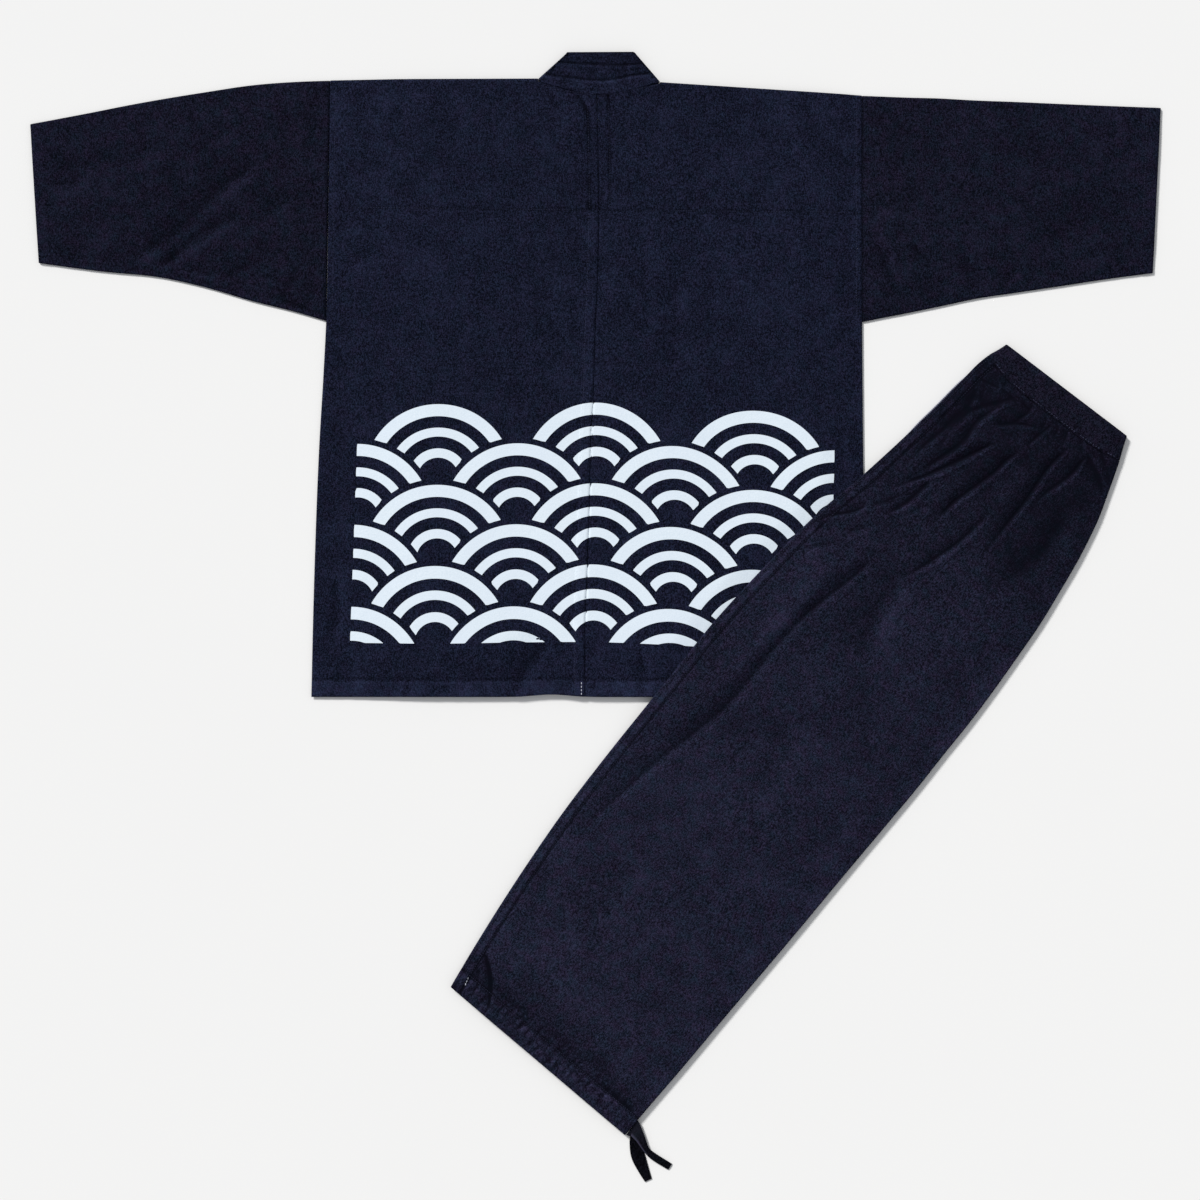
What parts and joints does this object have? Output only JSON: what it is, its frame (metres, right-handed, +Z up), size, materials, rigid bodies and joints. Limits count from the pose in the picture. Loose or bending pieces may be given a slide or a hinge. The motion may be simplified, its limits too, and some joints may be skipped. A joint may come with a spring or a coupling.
{
  "type": "samue set",
  "caption": "Two-piece indigo denim samue laid flat: wrap jacket back up with a printed wave band, and drawstring-hem trousers folded in half across its lower corner.",
  "frame": {"origin": "on the surface the cloth lies on, under the middle of the whole layout's bounding box", "axes": "+Z up from the surface; +Y towards the jacket's collar; +X towards the right-hand sleeve as seen from above"},
  "size_m": [1.3572, 1.3564, 0.0153],
  "materials": {
    "denim_body": "indigo cotton denim, matt, lightly mottled",
    "denim_sleeve": "indigo cotton denim, matt, a little darker",
    "denim_trousers": "indigo cotton denim, matt, a little lighter",
    "tie_cotton": "flat woven cotton tape, dark navy"
  },
  "bodies": {
    "root": {"body_left": "denim_body", "body_right": "denim_body", "okumi_left": "denim_body", "okumi_right": "denim_body", "collar": "denim_body", "sleeve_left": "denim_sleeve", "sleeve_right": "denim_sleeve", "tie_front_edge": "denim_body", "tie_side": "denim_body", "leg_upper": "denim_trousers", "leg_lower": "denim_trousers", "waistband": "denim_trousers", "hem_tie_long": "tie_cotton", "hem_tie_short": "tie_cotton"}
  },
  "joints": []
}
